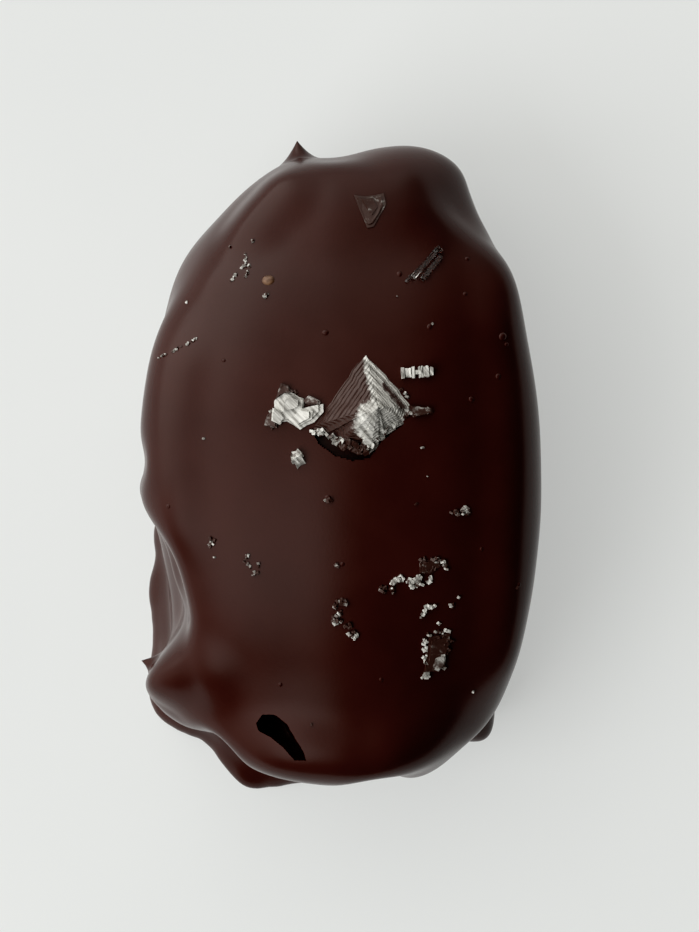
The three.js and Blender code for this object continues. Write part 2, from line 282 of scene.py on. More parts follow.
# the left side: a bulge under a groove, a hollow with a foot below it, and the fold with a tail
draw_out([(-15.6, -2.1, 11), (-15, -2.1, 5)], (-0.6, 0, 0), 2.8)
draw_out([(-15.6, 0.5, 16), (-15, 0.7, 5)], (0.7, 0, 0), 2)
draw_out([(-14.4, -7.5, 14), (-13.6, -11, 14), (-13.8, -11, 10), (-14.6, -7.5, 10)], (2.0, 0, 0), 5.5)
draw_out([(-14, -5.5, 0), (-13.6, -8, 0)], (-1.9, 0, 0), 3.5)
draw_out([(-12.6, -11, 0), (-12.2, -15, 0)], (-3.0, 0, 0), 5)
draw_out([(-13.2, -16.2, 12.5), (-12.9, -17.6, 6), (-12.4, -17.6, 0)], (-1.7, -0.9, 0.3), 4)
draw_out([(-12.8, -15.4), (-10.5, -16)], (0, 0, 0.5), 4)
# the near left valley, with the chocolate that ran out of it
draw_out([(-12.6, -19.6, 9), (-11.8, -20.5, 4)], (-0.5, -0.2, 0), 3)
draw_out([(-10, -23, 12), (-9.6, -23, 5)], (1.0, 1.1, 0), 3.5)
draw_out([(-12.4, -16.5, 0), (-10.5, -19, 0), (-8, -21, 0)], (-1.6, -2.6, 0), 5)
draw_out([(-7.2, -21.8, 0), (-4, -22.7, 0), (0.5, -23, 0)], (-0.2, -4.1, 0), 4.5)
# the near folds and the foot at the near right
draw_out([(6, -24, 10), (6, -23, 2)], (0.3, -0.9, 0), 5)
draw_out([(2.4, -25, 14), (2.4, -24, 4)], (0, 1.0, 0), 3.2)
draw_out([(11.3, -19.6, 8), (9.6, -21.2, 8)], (-0.5, 0.5, 0), 3)
draw_out([(11, -20.2, 5), (10.4, -19.8, 0)], (1.2, -2.1, 0), 3.5)

# the wet coat evened out, then ran out a little all round its foot
bpy.ops.mesh.select_all(action="SELECT")
bpy.ops.mesh.vertices_smooth(factor=0.5, repeat=6)
bpy.ops.mesh.select_all(action="DESELECT")
net = bmesh.from_edit_mesh(coat.data)
for v in net.verts:
    v.select_set(v.co.z < 0)
net.select_flush_mode()
bpy.ops.transform.resize(
    value=(FOOT_SPREAD, FOOT_SPREAD, 1), center_override=(0, 0, 0), use_proportional_edit=True,
    proportional_edit_falloff="SMOOTH", proportional_size=FOOT_HEIGHT * MM)

# a finer skin, cut flat where it lies
bpy.ops.object.mode_set(mode="OBJECT")
finer = coat.modifiers.new("finer skin", "SUBSURF")
finer.levels = 1
finer.render_levels = 1
bpy.ops.object.modifier_apply(modifier=finer.name)
bpy.ops.object.mode_set(mode="EDIT")
bpy.ops.mesh.select_all(action="SELECT")
bpy.ops.mesh.bisect(plane_co=(0, 0, 0), plane_no=(0, 0, 1), use_fill=True, clear_inner=True)
# the two tails
draw_out([(-3.3, 24.6, 10)], (-0.1, 1.5, 0.4), 2.0, "SHARP")
draw_out([(-15.6, -15.5, 9.5)], (-1.1, 0.2, 0.2), 1.4, "SHARP")
bpy.ops.object.mode_set(mode="OBJECT")

low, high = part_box("coated_date")
corners = [v.co for v in coat.data.vertices]
set_down = Vector((
    (low.x + high.x - min(c.x for c in corners) - max(c.x for c in corners)) / 2,
    (low.y + high.y - min(c.y for c in corners) - max(c.y for c in corners)) / 2,
    0))
coat.location = set_down
bpy.ops.object.transform_apply(location=True, rotation=False, scale=False)

whole_skin = BVHTree.FromObject(coat, bpy.context.evaluated_depsgraph_get())


def on_coat(x, y):
    """Finds the place on top of the coat over x, y, and the way that the coat faces there."""
    above = Vector((x, y, OVER_THE_COAT)) * MM + set_down
    place, facing, _, _ = whole_skin.ray_cast(above, Vector((0, 0, -1)))
    return place, facing


# The tears: a bubble under the coat that broke as it set, near the left of the near end, and the
# gap where the coat drew back from the near edges of the big salt flake.
TORN_BUBBLE = (
    (-6.5, -20.0), (-6.0, -19.3), (-5.0, -19.3), (-4.1, -20.0), (-3.5, -21.0), (-2.8, -22.1),
    (-2.6, -22.8), (-3.5, -22.8), (-4.4, -21.8), (-5.3, -21.1), (-6.3, -20.6))
DRAWN_BACK = (
    (-2.3, 2.9), (-1.6, 1.7), (-0.4, 0.8), (1.0, 0.4), (2.3, 0.6), (3.2, 1.9), (4.9, 3.2),
    (4.6, 3.9), (2.6, 2.6), (1.8, 1.7), (0.4, 1.8), (-1.2, 2.6))
# how much deeper, and how wide against the step above
BUBBLE_DEPTHS = ((0.25, 1.03), (1.5, 0.9), (1.0, 0.6))
DRAWN_DEPTHS = ((0.5, 1.0), (0.3, 0.97))


def inside(outline, x, y):
    """Says whether x, y lies within an outline."""
    within = False
    for (x1, y1), (x2, y2) in zip(outline, outline[1:] + outline[:1]):
        if (y1 > y) != (y2 > y) and x < x1 + (x2 - x1) * (y - y1) / (y2 - y1):
            within = not within
    return within


def select_inside(outline):
    """Selects the faces on top of the coat inside an outline, and gives the middle of them."""
    bpy.ops.mesh.select_all(action="DESELECT")
    middles = []
    for face in bmesh.from_edit_mesh(coat.data).faces:
        middle = face.calc_center_median()
        x, y, z = (middle - set_down) / MM
        if z > WIDEST_AT and inside(outline, x, y):
            face.select_set(True)
            middles.append(middle)
    return sum(middles, Vector()) / len(middles)


def tear(outline, depths):
    """Pushes the coat down inside an outline, step by step, to a depth and a width each time."""
    select_inside(outline)
    bpy.ops.mesh.select_more()
    bpy.ops.mesh.subdivide(number_cuts=2)
    middle = select_inside(outline)
    for deeper, width in depths:
        bpy.ops.mesh.extrude_region_move(TRANSFORM_OT_translate={"value": (0, 0, -deeper * MM)})
        bpy.ops.transform.resize(value=(width, width, 1), center_override=middle)


bpy.ops.object.select_all(action="DESELECT")
coat.select_set(True)
bpy.context.view_layer.objects.active = coat
bpy.ops.object.mode_set(mode="EDIT")
bpy.ops.mesh.select_mode(type="FACE")
tear(TORN_BUBBLE, BUBBLE_DEPTHS)
tear(DRAWN_BACK, DRAWN_DEPTHS)
bpy.ops.mesh.select_mode(type="VERT")
bpy.ops.object.mode_set(mode="OBJECT")
bpy.ops.object.shade_smooth_by_angle(angle=math.radians(50))

chocolate = bpy.data.materials.new("set dark chocolate")
chocolate.use_nodes = True
skin_nodes = chocolate.node_tree.nodes
skin_links = chocolate.node_tree.links
skin = skin_nodes["Principled BSDF"]
skin_place = skin_nodes.new("ShaderNodeTexCoord")
skin_clouds = skin_nodes.new("ShaderNodeTexNoise")
skin_clouds.inputs["Scale"].default_value = 170
skin_clouds.inputs["Detail"].default_value = 3
skin_tints = skin_nodes.new("ShaderNodeValToRGB")
skin_tints.color_ramp.elements[0].position = 0.35
skin_tints.color_ramp.elements[0].color = (0.0370, 0.0130, 0.0104, 1)
skin_tints.color_ramp.elements[1].position = 0.65
skin_tints.color_ramp.elements[1].color = (0.0435, 0.0158, 0.0128, 1)
skin_satin = skin_nodes.new("ShaderNodeMapRange")
skin_satin.inputs["To Min"].default_value = 0.17
skin_satin.inputs["To Max"].default_value = 0.31
skin_grain = skin_nodes.new("ShaderNodeTexNoise")
skin_grain.inputs["Scale"].default_value = 4200
skin_grain.inputs["Detail"].default_value = 2
skin_relief = skin_nodes.new("ShaderNodeBump")
skin_relief.inputs["Strength"].default_value = 0.5
skin_relief.inputs["Distance"].default_value = 0.000012
skin_links.new(skin_place.outputs["Object"], skin_clouds.inputs["Vector"])
skin_links.new(skin_place.outputs["Object"], skin_grain.inputs["Vector"])
skin_links.new(skin_clouds.outputs["Fac"], skin_tints.inputs["Fac"])
skin_links.new(skin_tints.outputs["Color"], skin.inputs["Base Color"])
skin_links.new(skin_clouds.outputs["Fac"], skin_satin.inputs["Value"])
skin_links.new(skin_satin.outputs["Result"], skin.inputs["Roughness"])
skin_links.new(skin_grain.outputs["Fac"], skin_relief.inputs["Height"])
skin_links.new(skin_relief.outputs["Normal"], skin.inputs["Normal"])
skin.inputs["IOR"].default_value = 1.45
skin.inputs["Specular IOR Level"].default_value = 0.34
coat.data.materials.append(chocolate)

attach(coat, "root")
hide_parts("coated_date")


# The big salt flake: a stepped pyramid of sea salt, grown step by step on the brine. It landed on
# the wet coat, which shows through on its left and smears its near edges.
FLAKE_FOOT = {"far": (1.8, 9.4), "right": (6.1, 4.4), "near": (2.0, 0.9), "left": (-2.7, 2.8)}
FLAKE_PEAK = Vector((2.95, 4.5))
FLAKE_HEIGHT = 1.9
FLAKE_STEPS = 14
FLAKE_SUNK = 0.3
FLAKE_TAPER = 0.985      # how much of its width the pyramid loses up to its peak
STEP_SLOPE = 0.6         # the share of a step's width that its rise leans in by
NEAR_RAGGED = 0.3        # how far the near edges of its foot stray
FAR_RAGGED = 0.08        # and the far edges
FLAKE_ROUGH = 0.02
CLOUD_AT = (2.3, 3.3)    # a white cloud in the brown left side
CLOUD_SIZE = (1.2, 1.6)
SIDE_CUTS = 11

chance = random.Random(11)


def frost(piece, whiteness):
    """Writes how frosted each corner of a salt piece is: white at 1, chocolate through it at 0."""
    white = piece.data.attributes.new("frost", "FLOAT", "POINT")
    for v in piece.data.vertices:
        white.data[v.index].value = whiteness(v.co)


bpy.ops.object.select_all(action="DESELECT")
bpy.ops.mesh.primitive_plane_add(size=1)
big_flake = bpy.context.active_object
big_flake.name = "big_salt_flake"
bpy.ops.object.mode_set(mode="EDIT")
bpy.ops.mesh.subdivide(number_cuts=SIDE_CUTS)
net = bmesh.from_edit_mesh(big_flake.data)
for v in net.verts:
    across, along = v.co.x + 0.5, v.co.y + 0.5
    place = (
        Vector(FLAKE_FOOT["left"]) * (1 - across) * (1 - along)
        + Vector(FLAKE_FOOT["near"]) * across * (1 - along)
        + Vector(FLAKE_FOOT["right"]) * across * along
        + Vector(FLAKE_FOOT["far"]) * (1 - across) * along)
    broken = NEAR_RAGGED if (along < 0.01 or across > 0.99) else FAR_RAGGED
    if v.is_boundary:
        place += Vector((chance.uniform(-1, 1), chance.uniform(-1, 1))) * broken
    v.co = on_coat(*place)[0] - Vector((0, 0, FLAKE_SUNK * MM))
bmesh.update_edit_mesh(big_flake.data)
peak = on_coat(*FLAKE_PEAK)[0]
rises = [chance.uniform(0.6, 1.4) for _ in range(FLAKE_STEPS)]
rises = [(FLAKE_HEIGHT + FLAKE_SUNK) * rise / sum(rises) for rise in rises]
reached = 0.0
width = 1.0
for rise in rises:
    reached += rise
    narrower = 1 - FLAKE_TAPER * reached / (FLAKE_HEIGHT + FLAKE_SUNK)
    step_in = narrower / width
    leaned_in = 1 - (1 - step_in) * STEP_SLOPE
    width = narrower
    bpy.ops.mesh.extrude_region_move(TRANSFORM_OT_translate={"value": (0, 0, rise * MM)})
    bpy.ops.transform.resize(value=(leaned_in, leaned_in, 1), center_override=peak)
    bpy.ops.mesh.extrude_region_move(TRANSFORM_OT_translate={"value": (0, 0, 0)})
    tread = step_in / leaned_in
    bpy.ops.transform.resize(value=(tread, tread, 1), center_override=peak)
bpy.ops.mesh.select_all(action="SELECT")
bpy.ops.mesh.normals_make_consistent(inside=False)
bpy.ops.transform.vertex_random(offset=FLAKE_ROUGH * MM, seed=3)
bpy.ops.object.mode_set(mode="OBJECT")


def flake_frost(co):
    """Says how frosted the big flake is: white right of its ridge and in one cloud, else brown."""
    place = ((co - set_down) / MM).xy
    foot = Vector(FLAKE_FOOT["far"] if place.y > FLAKE_PEAK.y else FLAKE_FOOT["near"])
    ridge = (FLAKE_PEAK - foot).normalized()
    right_of_ridge = (place - foot).cross(ridge) * (1 if place.y < FLAKE_PEAK.y else -1)
    far_edge = (place - Vector(FLAKE_FOOT["far"])).cross(
        (Vector(FLAKE_FOOT["right"]) - Vector(FLAKE_FOOT["far"])).normalized())
    cloud = math.hypot(
        (place.x - CLOUD_AT[0]) / CLOUD_SIZE[0], (place.y - CLOUD_AT[1]) / CLOUD_SIZE[1])
    white = max(min(1, 1.1 + right_of_ridge * 1.6), 1.5 - cloud * 1.1, 0.05)
    return white - 0.9 * max(0, 1 - abs(abs(far_edge) - 0.9) / 0.45) * (right_of_ridge > 0.7)


frost(big_flake, flake_frost)

salt = bpy.data.materials.new("flaky sea salt")
salt.use_nodes = True
salt_nodes = salt.node_tree.nodes
salt_links = salt.node_tree.links
salt_skin = salt_nodes["Principled BSDF"]
salt_place = salt_nodes.new("ShaderNodeTexCoord")
salt_frost = salt_nodes.new("ShaderNodeAttribute")
salt_frost.attribute_name = "frost"
salt_patches = salt_nodes.new("ShaderNodeTexNoise")
salt_patches.inputs["Scale"].default_value = 1300
salt_patches.inputs["Detail"].default_value = 5
salt_patches.inputs["Roughness"].default_value = 0.7
patchy = salt_nodes.new("ShaderNodeMath")
patchy.operation = "MULTIPLY_ADD"
patchy.inputs[1].default_value = 1.6
through = salt_nodes.new("ShaderNodeMapRange")
through.interpolation_type = "SMOOTHSTEP"
through.inputs["From Min"].default_value = 1.1
through.inputs["From Max"].default_value = 1.45
# growth lines, which run the way that the steps of the big flake do
salt_turned = salt_nodes.new("ShaderNodeMapping")
salt_turned.vector_type = "TEXTURE"
salt_turned.inputs["Rotation"].default_value = (0, 0, math.radians(-46))
salt_turned.inputs["Scale"].default_value = (0.0030, 0.00026, 0.0011)
salt_lines = salt_nodes.new("ShaderNodeTexNoise")
salt_lines.inputs["Scale"].default_value = 1
salt_lines.inputs["Detail"].default_value = 3
salt_white = salt_nodes.new("ShaderNodeValToRGB")
salt_white.color_ramp.elements[0].position = 0.38
salt_white.color_ramp.elements[0].color = (0.22, 0.215, 0.20, 1)
salt_white.color_ramp.elements[1].position = 0.6
salt_white.color_ramp.elements[1].color = (0.60, 0.60, 0.57, 1)
salt_brown = salt_nodes.new("ShaderNodeMix")
salt_brown.data_type = "RGBA"
salt_brown.inputs["A"].default_value = (0.034, 0.015, 0.012, 1)
salt_brown.inputs["B"].default_value = (0.062, 0.035, 0.029, 1)
salt_tint = salt_nodes.new("ShaderNodeMix")
salt_tint.data_type = "RGBA"
salt_dull = salt_nodes.new("ShaderNodeMapRange")
salt_dull.inputs["To Min"].default_value = 0.45
salt_dull.inputs["To Max"].default_value = 0.5
salt_relief = salt_nodes.new("ShaderNodeBump")
salt_relief.inputs["Strength"].default_value = 0.35
salt_relief.inputs["Distance"].default_value = 0.00005
salt_links.new(salt_place.outputs["Object"], salt_patches.inputs["Vector"])
salt_links.new(salt_place.outputs["Object"], salt_turned.inputs["Vector"])
salt_links.new(salt_turned.outputs["Vector"], salt_lines.inputs["Vector"])
salt_links.new(salt_patches.outputs["Fac"], patchy.inputs[0])
salt_links.new(salt_frost.outputs["Fac"], patchy.inputs[2])
salt_links.new(patchy.outputs["Value"], through.inputs["Value"])
salt_links.new(salt_lines.outputs["Fac"], salt_white.inputs["Fac"])
salt_links.new(salt_patches.outputs["Fac"], salt_brown.inputs["Factor"])
salt_links.new(through.outputs["Result"], salt_tint.inputs["Factor"])
salt_links.new(salt_brown.outputs["Result"], salt_tint.inputs["A"])
salt_links.new(salt_white.outputs["Color"], salt_tint.inputs["B"])
salt_links.new(salt_tint.outputs["Result"], salt_skin.inputs["Base Color"])
salt_links.new(through.outputs["Result"], salt_dull.inputs["Value"])
salt_links.new(salt_dull.outputs["Result"], salt_skin.inputs["Roughness"])
salt_links.new(salt_lines.outputs["Fac"], salt_relief.inputs["Height"])
salt_links.new(salt_relief.outputs["Normal"], salt_skin.inputs["Normal"])
salt_skin.inputs["IOR"].default_value = 1.54
big_flake.data.materials.append(salt)

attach(big_flake, "root")


# The broken plates: thin pieces of flakes that broke, lying one over another. The white ones are
# frosted, and the brown ones went under the chocolate.
PLATES = (
    # thickness, sunk, lean, how white, and the outline seen from above
    (0.50, 0.1, 0, 1.0, (
        (-4.9, 3.3), (-5.0, 5.0), (-4.2, 5.8), (-3.5, 5.5), (-2.7, 5.1), (-2.7, 4.4), (-2.2, 4.5),
        (-1.2, 4.7), (-1.2, 4.1), (-1.9, 3.3), (-3.0, 2.8), (-4.0, 3.4))),
    (0.75, 0.0, 6, 1.0, (
        (-4.4, 4.1), (-4.3, 5.0), (-3.7, 5.3), (-3.0, 5.0), (-3.1, 4.4), (-3.6, 4.1))),
    (0.70, 0.0, -8, 0.85, ((-3.9, 3.5), (-2.9, 4.3), (-1.9, 4.2), (-2.0, 3.6), (-3.0, 3.0))),
    (0.65, 0.0, 9, 0.95, ((-5.2, 3.4), (-5.1, 4.4), (-4.5, 4.2), (-4.2, 3.6), (-4.6, 3.1))),
    (0.35, 0.0, -5, 0.30, ((-2.9, 4.9), (-2.3, 5.4), (-1.4, 4.9), (-1.5, 4.6), (-2.4, 4.7))),
    (0.40, 0.0, 5, 0.35, ((-4.9, 5.1), (-4.5, 6.3), (-3.9, 6.1), (-3.6, 5.5), (-4.2, 5.5))),
    (0.35, 0.0, -6, 0.30, ((-5.7, 3.1), (-5.5, 3.9), (-4.9, 4.2), (-4.7, 2.9))),
    (0.25, 0.1, 0, 0.22, (
        (1.1, 21.0), (2.0, 20.9), (3.4, 21.2), (3.6, 20.3), (2.6, 18.4), (2.1, 18.3))),
    (0.35, 0.1, 5, 0.30, ((1.5, 20.7), (2.6, 20.9), (3.0, 20.0), (2.4, 19.1))),
    (0.30, 0.1, 4, 0.15, ((6.6, -15.9), (6.8, -13.0), (8.5, -12.8), (8.5, -13.9), (7.8, -16.0))),
    (0.30, 0.0, -6, 0.50, ((7.1, -15.5), (7.2, -14.6), (8.1, -14.4), (8.2, -15.2), (7.6, -15.9))),
    (0.30, 0.1, 6, 0.20, ((6.1, -8.2), (6.1, -7.4), (7.2, -7.1), (7.9, -7.6), (7.0, -8.3))),
    (0.40, 0.0, 5, 0.30, ((5.2, 4.6), (7.0, 4.4), (7.1, 4.0), (5.6, 3.7))))
FIRST_LAYER = 0.6        # the share of a plate's thickness that its first layer has
SECOND_LAYER = 0.4
SECOND_WIDTH = 0.8
EDGE_CHIPS = 0.07
TOP_CHIPS = 0.04


def lay_on_coat(piece, x, y, turn, lean, sunk, size=1):
    """Lays a piece that was made round 0, 0, 0 on the coat, with its place in its mesh."""
    place, facing = on_coat(x, y)
    upright = Vector((0, 0, 1)).rotation_difference(facing).to_matrix().to_4x4()
    turned = Matrix.Rotation(math.radians(turn), 4, "Z")
    leaning = Matrix.Rotation(math.radians(lean), 4, "Y")
    sized = leaning @ Matrix.Scale(size, 4)
    piece.matrix_world = Matrix.Translation(place - facing * sunk * MM) @ upright @ turned @ sized
    bpy.ops.object.select_all(action="DESELECT")
    piece.select_set(True)
    bpy.context.view_layer.objects.active = piece
    bpy.ops.object.transform_apply(location=True, rotation=True, scale=True)


def join(pieces, name):
    """Makes one piece of many that are of one kind."""
    bpy.ops.object.select_all(action="DESELECT")
    for piece in pieces:
        piece.select_set(True)
    bpy.context.view_layer.objects.active = pieces[0]
    bpy.ops.object.join()
    pieces[0].name = name
    return pieces[0]


def broken_plate(outline, thickness, seed):
    """Makes a flat shard with the outline given and a second, smaller layer grown on it."""
    bpy.ops.object.select_all(action="DESELECT")
    bpy.ops.mesh.primitive_circle_add(vertices=len(outline), radius=MM, fill_type="NGON")
    shard = bpy.context.active_object
    bpy.ops.object.mode_set(mode="EDIT")
    net = bmesh.from_edit_mesh(shard.data)
    net.verts.ensure_lookup_table()
    for v, (x, y) in zip(net.verts, outline):
        v.co = (x * MM, y * MM, 0)
    bpy.ops.mesh.subdivide(number_cuts=1)
    bpy.ops.transform.vertex_random(offset=EDGE_CHIPS * MM, seed=seed)
    bpy.ops.transform.resize(value=(1, 1, 0), center_override=(0, 0, 0))
    bpy.ops.mesh.extrude_region_move(
        TRANSFORM_OT_translate={"value": (0, 0, thickness * FIRST_LAYER * MM)})
    bpy.ops.mesh.extrude_region_move(TRANSFORM_OT_translate={"value": (0, 0, 0)})
    bpy.ops.transform.resize(value=(SECOND_WIDTH, SECOND_WIDTH, 1))
    bpy.ops.mesh.extrude_region_move(
        TRANSFORM_OT_translate={"value": (0, 0, thickness * SECOND_LAYER * MM)})
    bpy.ops.transform.vertex_random(offset=TOP_CHIPS * MM, seed=seed + 50)
    bpy.ops.mesh.select_all(action="SELECT")
    bpy.ops.mesh.normals_make_consistent(inside=False)
    bpy.ops.object.mode_set(mode="OBJECT")
    return shard


shards = []
for number, (thickness, sunk, lean, white, outline) in enumerate(PLATES):
    x = sum(corner[0] for corner in outline) / len(outline)
    y = sum(corner[1] for corner in outline) / len(outline)
    shard = broken_plate([(a - x, b - y) for a, b in outline], thickness, number)
    frost(shard, lambda co: white)
    lay_on_coat(shard, x, y, 0, lean, sunk)
    shards.append(shard)
plates = join(shards, "broken_salt_plates")
plates.data.materials.append(salt)
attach(plates, "root")


# The salt crystals: small cubes and crumbs that broke off the flakes, alone and in clusters. The
# whitest lie on top, and the browner ones sank in the wet chocolate.
CLUSTERS = (
    # x, y, how many, spread along, spread across, turn, size, how white
    (-3.15, 0.8, 4, 0.35, 0.12, 75, 0.75, 1.1), (6.6, 4.2, 4, 0.2, 0.2, 0, 0.35, 0.9),
    (9.6, -3.5, 12, 0.28, 0.35, 0, 0.32, 1.0), (8.8, -3.6, 8, 0.30, 0.20, 0, 0.30, 0.35),
    (5.7, -8.9, 20, 0.50, 0.35, 15, 0.36, 1.05), (4.4, -8.7, 12, 0.50, 0.14, 35, 0.32, 0.95),
    (4.0, -9.3, 8, 0.15, 0.40, 0, 0.30, 0.7), (3.3, -9.4, 6, 0.20, 0.30, 0, 0.30, 0.35),
    (6.9, -8.7, 6, 0.18, 0.25, 0, 0.30, 0.8), (6.4, -7.3, 10, 0.2, 0.45, -20, 0.28, 0.6),
    (7.3, -7.2, 8, 0.45, 0.12, 0, 0.28, 0.6), (8.0, -7.6, 8, 0.15, 0.35, 20, 0.28, 0.65),
    (7.0, -7.8, 10, 0.6, 0.25, 10, 0.32, 0.2),
    (6.9, -10.8, 9, 0.40, 0.10, 10, 0.30, 1.0), (6.4, -11.3, 8, 0.12, 0.35, -25, 0.28, 0.95),
    (8.6, -10.7, 4, 0.15, 0.12, 0, 0.24, 0.6), (9.2, -10.1, 2, 0.1, 0, 0, 0.22, 0.5),
    (7.7, -12.1, 2, 0.1, 0, 0, 0.22, 0.6),
    (-0.1, -10.6, 12, 0.40, 0.45, 60, 0.32, 0.3), (-0.2, -11.6, 14, 0.30, 0.45, 0, 0.30, 0.85),
    (1.0, -12.9, 12, 0.30, 0.40, 30, 0.30, 0.95), (0.6, -12.2, 5, 0.2, 0.2, 0, 0.3, 0.35),
    (7.6, -12.8, 12, 0.85, 0.12, 8, 0.26, 0.75), (6.6, -14.3, 20, 0.12, 1.40, 4, 0.26, 0.8),
    (7.7, -13.7, 16, 0.7, 0.6, 0, 0.28, 0.3), (7.6, -15.2, 14, 0.45, 0.45, 0, 0.26, 0.7),
    (6.6, -16.2, 9, 0.25, 0.2, 0, 0.28, 1.0), (8.4, -14.0, 8, 0.12, 0.7, -15, 0.24, 0.5),
    (-9.8, -5.9, 9, 0.22, 0.35, 0, 0.24, 0.7), (-9.6, -7.0, 1, 0, 0, 0, 0.20, 0.7),
    (-7.2, -7.1, 7, 0.38, 0.10, 55, 0.22, 0.8), (-6.9, -7.7, 5, 0.12, 0.3, 20, 0.22, 0.6),
    (-6.4, -8.2, 6, 0.3, 0.12, 20, 0.22, 0.6), (-6.2, -7.6, 4, 0.1, 0.25, 0, 0.22, 0.5),
    (-0.9, -2.6, 5, 0.2, 0.2, 0, 0.28, 0.45), (-0.3, -7.6, 3, 0.25, 0.1, 0, 0.26, 0.4),
    (5.8, -2.9, 1, 0, 0, 0, 0.24, 0.35), (-5.1, 3.6, 10, 0.15, 0.8, 0, 0.28, 0.7),
    (-3.9, 5.7, 8, 0.6, 0.15, -20, 0.26, 0.6),
    # along the near edges of the big flake
    (-1.5, 2.5, 14, 0.65, 0.22, -23, 0.40, 0.95), (-0.3, 2.0, 14, 0.6, 0.25, -23, 0.42, 0.8),
    (0.6, 1.6, 14, 0.6, 0.30, -23, 0.46, 0.35), (1.6, 1.3, 14, 0.5, 0.30, -15, 0.46, 0.30),
    (2.3, 1.6, 9, 0.25, 0.4, 0, 0.42, 0.85), (3.2, 2.6, 12, 0.7, 0.20, 45, 0.36, 0.6),
    (4.5, 3.6, 12, 0.8, 0.20, 33, 0.34, 0.7), (5.5, 4.2, 9, 0.6, 0.2, 10, 0.34, 0.5),
    (4.9, 5.6, 6, 0.6, 0.08, -46, 0.26, 0.9),
    # crumbs by themselves
    (-7.3, 15.9, 9, 0.06, 0.5, 5, 0.20, 0.85), (-7.1, 15.0, 9, 0.06, 0.5, -15, 0.20, 0.8),
    (-7.6, 15.3, 5, 0.25, 0.05, 40, 0.18, 0.8), (-8.2, 14.5, 8, 0.35, 0.06, 55, 0.22, 0.9),
    (-5.7, 13.1, 5, 0.08, 0.08, 0, 0.30, 1.1), (-6.7, 17.4, 2, 0.05, 0, 0, 0.26, 0.9),
    (-8.5, 17.0, 1, 0, 0, 0, 0.2, 0.9), (-11.9, 12.7, 2, 0.04, 0, 0, 0.22, 1.1),
    (-10.4, 2.1, 2, 0.04, 0, 0, 0.22, 1.1),
    (-11.4, 9.6, 9, 0.5, 0.04, 28, 0.18, 0.9), (-12.6, 9.0, 9, 0.5, 0.04, 28, 0.17, 0.8),
    (-13.7, 8.5, 7, 0.4, 0.04, 28, 0.16, 0.8), (10.4, -17.6, 1, 0, 0, 0, 0.2, 1.0),
    (-2.2, -20.0, 1, 0, 0, 0, 0.24, 0.9), (6.3, 1.4, 1, 0, 0, 0, 0.18, 1.0),
    (6.7, -0.8, 1, 0, 0, 0, 0.16, 1.0), (13.7, -9.4, 1, 0, 0, 0, 0.3, 0.35),
    (4.4, 13.0, 1, 0, 0, 0, 0.16, 0.6), (7.1, 10.9, 1, 0, 0, 0, 0.2, 0.4))
BLOCK_SHAPES = 12
BLOCK_SIDES = (0.5, 1.3)      # shortest and longest side, before a cluster's own size
BLOCK_ROUGH = 0.22            # against the shortest side
BLOCK_TURN = 45
BLOCK_LEAN = 35
BLOCK_LIFT = 0.15             # against the block's size
FROST_SPREAD = (-0.75, 0.1)
LADDER_START = (4.8, 7.05)    # a rod that broke into steps, like a ladder, beside the big flake
LADDER_STEP = (0.27, 0.02)
LADDER_SLABS = 9
LADDER_GAP = 4                # the slab that broke off short
LADDER_FROST = 0.95


def crystal(size, cuts, seed):
    """Makes a small block of salt with its corners knocked off, the rougher the more cuts."""
    bpy.ops.object.select_all(action="DESELECT")
    bpy.ops.mesh.primitive_cube_add(size=1)
    block = bpy.context.active_object
    bpy.ops.object.mode_set(mode="EDIT")
    bpy.ops.transform.resize(value=[side * MM for side in size])
    bpy.ops.mesh.subdivide(number_cuts=cuts)
    bpy.ops.transform.vertex_random(offset=min(size) * BLOCK_ROUGH * MM, seed=seed)
    bpy.ops.object.mode_set(mode="OBJECT")
    return block


shapes = [
    crystal([chance.uniform(*BLOCK_SIDES) for _ in range(3)], number % 3, number)
    for number in range(BLOCK_SHAPES)]
blocks = []
for x, y, count, spread, across, turn, size, white in CLUSTERS:
    heading = math.radians(turn)
    for _ in range(count):
        along = chance.uniform(-spread, spread)
        aside = chance.uniform(-across, across)
        block = chance.choice(shapes).copy()
        block.data = block.data.copy()
        bpy.context.scene.collection.objects.link(block)
        whiteness = white + chance.uniform(*FROST_SPREAD)
        frost(block, lambda co: whiteness)
        lay_on_coat(
            block,
            x + along * math.cos(heading) - aside * math.sin(heading),
            y + along * math.sin(heading) + aside * math.cos(heading),
            turn + chance.uniform(-BLOCK_TURN, BLOCK_TURN), chance.uniform(-BLOCK_LEAN, BLOCK_LEAN),
            -size * BLOCK_LIFT, size * chance.uniform(0.75, 1.15))
        blocks.append(block)
for number in range(LADDER_SLABS):
    size = (0.23, chance.uniform(0.6, 0.9), chance.uniform(0.4, 0.6))
    if number == LADDER_GAP:
        size = (0.3, 0.3, 0.4)
    slab = crystal(size, 0, number)
    frost(slab, lambda co: LADDER_FROST)
    x = LADDER_START[0] + LADDER_STEP[0] * number
    y = LADDER_START[1] + LADDER_STEP[1] * number
    lay_on_coat(slab, x, y, 4, chance.uniform(-12, 12), -0.15)
    blocks.append(slab)
bpy.ops.object.select_all(action="DESELECT")
for shape in shapes:
    shape.select_set(True)
bpy.ops.object.delete()
crystals = join(blocks, "salt_crystals")
crystals.data.materials.append(salt)
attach(crystals, "root")


# The clear rods: long crystals with no frost, which show the chocolate under them and glint at
# their edges.
RODS = (
    # x, y, length, width, turn
    (6.55, 15.55, 3.3, 0.42, 50), (7.05, 15.25, 2.7, 0.40, 52), (7.5, 16.6, 0.7, 0.55, 40),
    (5.35, 14.4, 0.8, 0.3, 45))
ROD_EDGE = 0.06
ROD_LEAN = 2
ROD_LIFT = 0.12

